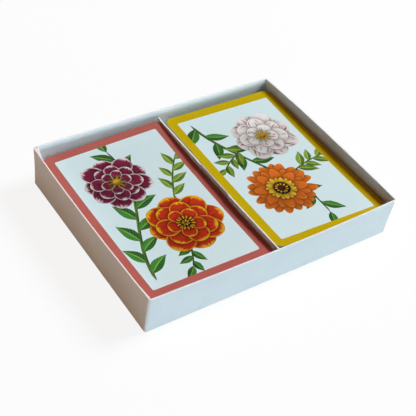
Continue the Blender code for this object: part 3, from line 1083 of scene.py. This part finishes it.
# %% Outlines and grids on a card, in millimetres
CARD_CORNER = 3.2
CARD_CORNER_STEPS = 5
PANEL_CORNER = 0.7
PANEL_CORNER_STEPS = 3
LONGEST_STEP = 6.0
ROW_STEP = 0.866
NO_LENGTH = 1e-12
CARD_HALF = (DECKS["coral"]["width"] / MM / 2, DECKS["coral"]["length"] / MM / 2)
REGISTER = {"coral": (0.0, 0.0), "yellow": (-0.19, -0.45)}


def round_rectangle(half_x, half_y, radius, steps):
    """Places round a rectangle with round corners, no two further apart than the longest step."""
    corners = sum(corner_arcs(half_x - radius, half_y - radius, radius, steps), [])
    points = []
    for here, ahead in zip(corners, corners[1:] + corners[:1]):
        pieces = max(math.ceil(math.dist(here, ahead) / LONGEST_STEP), 1)
        way = np.array(ahead) - here
        points += [tuple(np.array(here) + way * step / pieces) for step in range(pieces)]
    return np.array(points)


def in_panel(points, register):
    """Whether places are inside the white panel."""
    reach = np.abs(points - np.array(register)) - (np.array(PANEL_HALF) - PANEL_CORNER)
    return np.hypot(*np.maximum(reach, 0).T) < PANEL_CORNER


def distance_to(edge, points):
    """Distance from each place to a closed row of places."""
    nearest = np.full(len(points), np.inf)
    for here, ahead in zip(edge, np.roll(edge, -1, axis=0)):
        way = ahead - here
        share = np.clip((points - here) @ way / max(way @ way, NO_LENGTH), 0, 1)
        nearest = np.minimum(nearest, np.hypot(*(points - here - np.outer(share, way)).T))
    return nearest


def grid(spacing, half_x, half_y):
    """Places in staggered rows."""
    rows = int(2 * half_y / (spacing * ROW_STEP))
    places = []
    for row in range(rows + 1):
        y = -half_y + 2 * half_y * row / rows
        count = int(2 * half_x / spacing)
        shift = 0.5 * (row % 2)
        places += [(-half_x + 2 * half_x * (step + shift) / count, y) for step in range(count + 1 - row % 2)]
    return np.array(places)


CARD_OUTLINE = round_rectangle(*CARD_HALF, CARD_CORNER, CARD_CORNER_STEPS)
print("a card's outline has", len(CARD_OUTLINE), "points")

# %% Triangulate a printed sheet
OUTLINE_STEPS = 16
FINE_GRID = 0.8
FINE_MARGIN = 1.5
COARSE_GRID = 6.0
COARSE_MARGIN = 3.0
MERGE_WITHIN = 1e-5
LEAST_AREA = 1e-7


def triangulate(parts, register):
    """A sheet of triangles: its places, its triangles, and which part each triangle shows."""
    rows = [CARD_OUTLINE]
    if register:
        panel = round_rectangle(*PANEL_HALF, PANEL_CORNER, PANEL_CORNER_STEPS)
        rows.append(panel + np.array(register))
    edges = []
    points = []
    for row in rows:
        start = len(points)
        points += [tuple(place) for place in row]
        edges += [(start + step, start + (step + 1) % len(row)) for step in range(len(row))]
    fine = grid(FINE_GRID, CARD_HALF[0] - FINE_MARGIN, CARD_HALF[1] - FINE_MARGIN)
    painted = np.zeros(len(fine), bool)
    for number, part in enumerate(parts):
        row = outline(part, OUTLINE_STEPS)
        hidden = np.zeros(len(row), bool)
        for later in parts[number + 1:]:
            hidden |= covers(later, row)
        shows = ~hidden & (in_panel(row, register) if register else True)
        for here, ahead in zip(range(len(row)), np.roll(np.arange(len(row)), -1)):
            if shows[here] or shows[ahead]:
                edges.append((len(points), len(points) + 1))
                points += [tuple(row[here]), tuple(row[ahead])]
        painted |= covers(part, fine)
    if register:
        painted &= in_panel(fine, register)
    points += [tuple(place) for place in fine[painted]]
    coarse = grid(COARSE_GRID, CARD_HALF[0] - COARSE_MARGIN, CARD_HALF[1] - COARSE_MARGIN)
    points += [tuple(place) for place in coarse]
    places, _, triangles, _, _, _ = delaunay_2d_cdt(points, edges, [], 0, MERGE_WITHIN, True)
    places = np.array([place[:] for place in places])
    triangles = np.array([corners for corners in triangles if len(corners) == 3])
    first, second, third = (places[triangles[:, corner]] for corner in range(3))
    area = np.cross(second - first, third - first)
    triangles[area < 0] = triangles[area < 0][:, ::-1]
    triangles = triangles[np.abs(area) > LEAST_AREA]
    middles = places[triangles].mean(axis=1)
    shown = np.full(len(triangles), -1)
    for number, part in enumerate(parts):
        shown[covers(part, middles)] = number
    if register:
        shown[~in_panel(middles, register)] = -1
    return places, triangles, shown


print("prints are filled with triangles about", FINE_GRID, "mm wide")

# %% Paint the sheets
SHADOW_REACH = 0.9
SHADOW_SEARCH = 3 * SHADOW_REACH
PRINT_LIGHT = math.radians(60)
INSIDE = (0.002, 0.998)


def paint_sheet(parts, ground, border=None, register=None):
    """The triangles with the ink and the two UV maps of every corner. A back has a border and a register."""
    places, triangles, shown = triangulate(parts, register)
    paint = np.zeros((len(triangles), 3, 2))
    shade = np.zeros((len(triangles), 3, 2))
    shade[:, :, 1] = 0.5
    edges = [outline(part, OUTLINE_STEPS) for part in parts]
    for number, part in enumerate(parts):
        mine = np.nonzero(shown == number)[0]
        if not len(mine):
            continue
        corners = places[triangles[mine]].reshape(-1, 2)
        u, v = from_card(part, corners)
        paint[mine, :, 0] = (number + np.clip(u, *INSIDE)).reshape(-1, 3)
        paint[mine, :, 1] = (np.clip(v, -1, 1) * 0.5 + 0.5).reshape(-1, 3)
        shadow = np.zeros(len(corners))
        low = corners.min(axis=0) - SHADOW_SEARCH
        high = corners.max(axis=0) + SHADOW_SEARCH
        for later in range(number + 1, len(parts)):
            edge = edges[later]
            if (edge.max(axis=0) < low).any() or (edge.min(axis=0) > high).any():
                continue
            shadow = np.maximum(shadow, np.exp(-distance_to(edge, corners) / SHADOW_REACH))
        shade[mine, :, 0] = shadow.reshape(-1, 3)
        shade[mine, :, 1] = 0.5 + 0.5 * math.cos(part["heading"] - PRINT_LIGHT)
    middles = places[triangles].mean(axis=1)
    inks = [INKS[part["finish"]] if isinstance(part["finish"], str) else part["finish"] for part in parts]
    inside = in_panel(middles, register or (0, 0))
    plain = [ground if within or not register else border for within in inside]
    finishes = [inks[number] if number >= 0 else plain[place] for place, number in enumerate(shown)]
    return {"places": places, "triangles": triangles, "paint": paint, "shade": shade, "finishes": finishes}


SHEETS = {}
for colour in PRINTS:
    for part in PRINTS[colour]:
        part["start"] += REGISTER[colour]
    SHEETS[colour + "_back"] = paint_sheet(PRINTS[colour], panel_paper, BORDER_INK[colour], REGISTER[colour])
    print(colour, "back has", len(SHEETS[colour + "_back"]["triangles"]), "triangles")

# %% [markdown]
# ## Card faces
#
# The cards whose faces can be seen from below when a deck is lifted or cut carry the plainest of
# traditional marks: a heart, a diamond, or a star for the joker. They are the same motifs on a white sheet:
# a heart is two spots and a kite, and a star is five kites.

# %% Faces of the aces and the joker
LARGE_MARK = 15
SMALL_MARK = 5
SMALL_MARK_PLACE = (23.6, 38)


def heart(middle, size):
    """Two spots and a kite that points down."""
    x, y = middle
    return [motif(pip_red, (x, y + 0.42 * size), -90, 1.02 * size, 1.08 * size, "kite"),
            dot(pip_red, (x - 0.26 * size, y + 0.2 * size), 0.6 * size),
            dot(pip_red, (x + 0.26 * size, y + 0.2 * size), 0.6 * size)]


def diamond(middle, size):
    """One diamond that stands on a point."""
    return [motif(pip_red, (middle[0], middle[1] - size * 0.65), 90, 1.3 * size, size, "diamond")]


def star(middle, size):
    """Five kites round a middle."""
    return [motif(star_ink, middle, 90 + 72 * point, size * 0.6, size * 0.44, "kite") for point in range(5)]


def face_sheet(mark):
    """A face with one large mark and two small ones in opposite corners."""
    x, y = SMALL_MARK_PLACE
    parts = mark((0, 0), LARGE_MARK) + mark((-x, y), SMALL_MARK) + mark((x, -y), SMALL_MARK)
    return paint_sheet(parts, face_paper)


for mark in (heart, diamond, star):
    SHEETS[mark.__name__ + "_face"] = face_sheet(mark)
SHEETS["plain_face"] = paint_sheet([], face_paper)
for colour in PRINTS:
    SHEETS[colour + "_plain"] = paint_sheet([], BORDER_INK[colour])
print("sheets:", {name: len(sheet["triangles"]) for name, sheet in SHEETS.items()})

# %% [markdown]
# ## A card from two sheets
#
# A card is its back sheet, its face sheet turned over underneath, and a ring of edge faces that joins their
# outlines. Both sheets were cut with the same outline, so the ring only has to find those places in each.

# %% Build a card's mesh
def outline_places(sheet):
    """Which of the sheet's places lie on the card's outline, in order."""
    return [int(np.argmin(np.hypot(*(sheet["places"] - place).T))) for place in CARD_OUTLINE]


def card_mesh(name, back, face, thickness):
    """One flat card about the origin, standing on height 0, in metres."""
    upper, lower = SHEETS[back], SHEETS[face]
    shift = len(upper["places"])
    flat = np.concatenate((upper["places"], lower["places"])) * MM
    level = np.concatenate((np.full(shift, thickness), np.zeros(len(lower["places"]))))
    points = np.column_stack((flat, level))
    top = upper["triangles"]
    under = lower["triangles"][:, ::-1] + shift
    ring_top = outline_places(upper)
    ring_under = [place + shift for place in outline_places(lower)]
    count = len(CARD_OUTLINE)
    sides = []
    for step in range(count):
        ahead = (step + 1) % count
        sides.append((ring_under[step], ring_under[ahead], ring_top[ahead], ring_top[step]))
    mesh = bpy.data.meshes.new(name)
    mesh.from_pydata(points, [], top.tolist() + under.tolist() + sides)
    finishes = upper["finishes"] + lower["finishes"] + [raw_edge_with_shade] * count
    slots = list(dict.fromkeys(finishes))
    for material in slots:
        mesh.materials.append(material)
    places = {material: slot for slot, material in enumerate(slots)}
    mesh.polygons.foreach_set("material_index", [places[material] for material in finishes])
    for layer in ("paint", "shade"):
        ends = np.zeros((count * 4, 2))
        corners = np.concatenate((upper[layer].reshape(-1, 2), lower[layer][:, ::-1].reshape(-1, 2), ends))
        mesh.uv_layers.new(name=layer).data.foreach_set("uv", corners.ravel())
    return mesh


def settle(name, mesh, points, colour, body, nodes):
    """Moves a mesh's points to their places in a deck and makes it a piece that stands for CAD cards."""
    mesh.vertices.foreach_set("co", points.ravel())
    mesh.update()
    soft_edges(mesh)
    piece = new_piece(name, mesh, f"{colour}_{body}")
    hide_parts(*[f"{colour}_{node}" for node in nodes])


def place_card(name, colour, number, back, face, body, node):
    """One card of its own at its place in the deck, counted from the bottom, that stands for a CAD card."""
    deck = DECKS[colour]
    mesh = card_mesh(name, back, face, deck["thickness"])
    points = np.array([vert.co[:] for vert in mesh.vertices])
    points[:, 2] += number * deck["pitch"]
    settle(name, mesh, lay_in_deck(colour, points, number == CARDS - 1), colour, body, [node])


LOWER_CARDS = 26
SINGLE_CARDS = (
    ("top_joker", CARDS - 1, "back", "star_face", "top_card", "joker_1"),
    ("second_joker", CARDS - 2, "back", "plain_face", "upper_half", "joker_2"),
    ("diamond_ace", LOWER_CARDS, "plain", "diamond_face", "upper_half", "ace_of_diamonds"),
    ("club_king", LOWER_CARDS - 1, "back", "plain_face", "lower_half", "king_of_clubs"),
    ("heart_ace", 0, "plain", "heart_face", "lower_half", "ace_of_hearts"),
)
for colour in DECKS:
    for name, number, back, face, body, node in SINGLE_CARDS:
        place_card(f"{colour}_{name}", colour, number, f"{colour}_{back}", face, body, node)
print(len(SINGLE_CARDS), "single cards in each deck")

# %% [markdown]
# ## The stacks between, with Geometry Nodes
#
# The other cards only show their edges, so one thin card is repeated. A line of points, one card's pitch
# apart, gets a card on each point. Every card slips and turns by a hair, as in a deck that was squared by
# hand, and then the whole stack is curled by the same rule as the single cards.

# %% The tree that stacks cards
STACK_INPUTS = {
    "NodeSocketInt": ("Count", "Seed"),
    "NodeSocketFloat": ("First level", "Pitch", "Slip", "Turn", "Tilt across", "Tilt along", "Twist", "Curl",
                        "Half width", "Half length", "Deck height"),
    "NodeSocketMaterial": ("Back ink", "Face paper", "Raw edge with shade"),
}
FACES_UP = 0.5


def stack_tree():
    """A stack of curled cards, made from the card that the object holds."""
    tree = bpy.data.node_groups.new("card_stack", "GeometryNodeTree")
    tree.interface.new_socket("Stack", in_out="OUTPUT", socket_type="NodeSocketGeometry")
    tree.interface.new_socket("Card", in_out="INPUT", socket_type="NodeSocketGeometry")
    for kind, names in STACK_INPUTS.items():
        for name in names:
            tree.interface.new_socket(name, in_out="INPUT", socket_type=kind)
    card = Value(tree, None).node("NodeGroupInput", None, None, "Card")
    given = {name: card.beside(name) for names in STACK_INPUTS.values() for name in names}
    line = card.node("GeometryNodeMeshLine", {"mode": "OFFSET"}, {
        "Count": given["Count"], "Start Location": card.vector(0.0, 0.0, given["First level"]),
        "Offset": card.vector(0.0, 0.0, given["Pitch"])})
    chance = card.node("FunctionNodeRandomValue", {"data_type": "FLOAT_VECTOR"}, {
        0: (-1.0, -1.0, -1.0), 1: (1.0, 1.0, 1.0), "Seed": given["Seed"]})
    slip = chance.times(card.vector(given["Slip"], given["Slip"], 0.0))
    points = card.node("GeometryNodeSetPosition", None, {"Geometry": line, "Offset": slip})
    turned = chance.times(card.vector(0.0, 0.0, given["Turn"]))
    turned = card.node("FunctionNodeEulerToRotation", None, {0: turned})
    cards = card.node("GeometryNodeInstanceOnPoints", None, {
        "Points": points, "Instance": card, "Rotation": turned})
    real = card.node("GeometryNodeRealizeInstances", None, {"Geometry": cards})
    sideways = card.node("GeometryNodeInputPosition").axis(0)
    across = sideways / given["Half width"]
    along = sideways.beside(1) / given["Half length"]
    level = sideways.beside(2)
    rise = given["Tilt across"] * across + given["Tilt along"] * along + given["Twist"] * across * along
    rise = (rise + given["Curl"] * (along * along - 1 / 3)) * level / given["Deck height"]
    lift = card.vector(0.0, 0.0, rise)
    curled = card.node("GeometryNodeSetPosition", None, {"Geometry": real, "Offset": lift})
    facing = card.node("GeometryNodeInputNormal").axis(2)
    sides = {
        "Back ink": facing.math("GREATER_THAN", FACES_UP),
        "Face paper": facing.math("LESS_THAN", -FACES_UP),
    }
    stack = card.node("GeometryNodeSetMaterial", None, {"Geometry": curled, "Material": given["Raw edge with shade"]})
    for finish, side in sides.items():
        stack = card.node("GeometryNodeSetMaterial", None, {
            "Geometry": stack, "Selection": side, "Material": given[finish]})
    card.node("NodeGroupOutput", None, {"Stack": stack})
    return tree


STACK_TREE = stack_tree()
print("card_stack tree has", len(STACK_TREE.nodes), "nodes")

# %% Stack the other cards
SUITS = {"lower_half": ("hearts", "clubs"), "upper_half": ("diamonds", "spades")}
RANKS = ("ace", "two_to_ten", "jack", "queen", "king")
SINGLE_NODES = [single[-1] for single in SINGLE_CARDS]
STACK_SEEDS = {"lower_half": 3, "upper_half": 13}
SLIP = 0.045 * MM
SLIP_TURN = math.radians(0.035)


def stack_cards(name, colour, first, count, body, seed):
    """A run of cards as one mesh that rides with its half of the deck."""
    deck = DECKS[colour]
    mesh = card_mesh(name + "_card", colour + "_plain", "plain_face", deck["thickness"])
    mesh.materials.clear()
    maker = bpy.data.objects.new(name + "_maker", mesh)
    bpy.context.scene.collection.objects.link(maker)
    modifier = maker.modifiers.new("stack", "NODES")
    modifier.node_group = STACK_TREE
    settings = {"Count": count, "First level": first * deck["pitch"], "Pitch": deck["pitch"], "Slip": SLIP,
                "Turn": SLIP_TURN, "Seed": seed, "Half width": PANEL_HALF_X, "Half length": PANEL_HALF_Y,
                "Deck height": deck["height"], "Back ink": BORDER_INK[colour], "Face paper": face_paper,
                "Raw edge with shade": raw_edge_with_shade, **CURL[colour]}
    for item in STACK_TREE.interface.items_tree:
        if item.name in settings:
            modifier[item.identifier] = settings[item.name]
    graph = bpy.context.evaluated_depsgraph_get()
    stacked = bpy.data.meshes.new_from_object(maker.evaluated_get(graph), depsgraph=graph)
    stacked.name = name
    bpy.data.objects.remove(maker)
    points = np.array([vert.co[:] for vert in stacked.vertices])
    nodes = [f"{rank}_of_{suit}" for suit in SUITS[body] for rank in RANKS]
    nodes = [node for node in nodes if node not in SINGLE_NODES]
    settle(name, stacked, place_in_deck(colour, points), colour, body, nodes)
    return len(stacked.polygons)


RUNS = {"lower": (1, LOWER_CARDS - 2), "upper": (LOWER_CARDS + 1, CARDS - LOWER_CARDS - 3)}
for order, colour in enumerate(DECKS):
    for half, (first, count) in RUNS.items():
        body = half + "_half"
        faces = stack_cards(f"{colour}_{half}_stack", colour, first, count, body, STACK_SEEDS[body] + order)
        print(colour, half, "stack:", count, "cards,", faces, "faces")
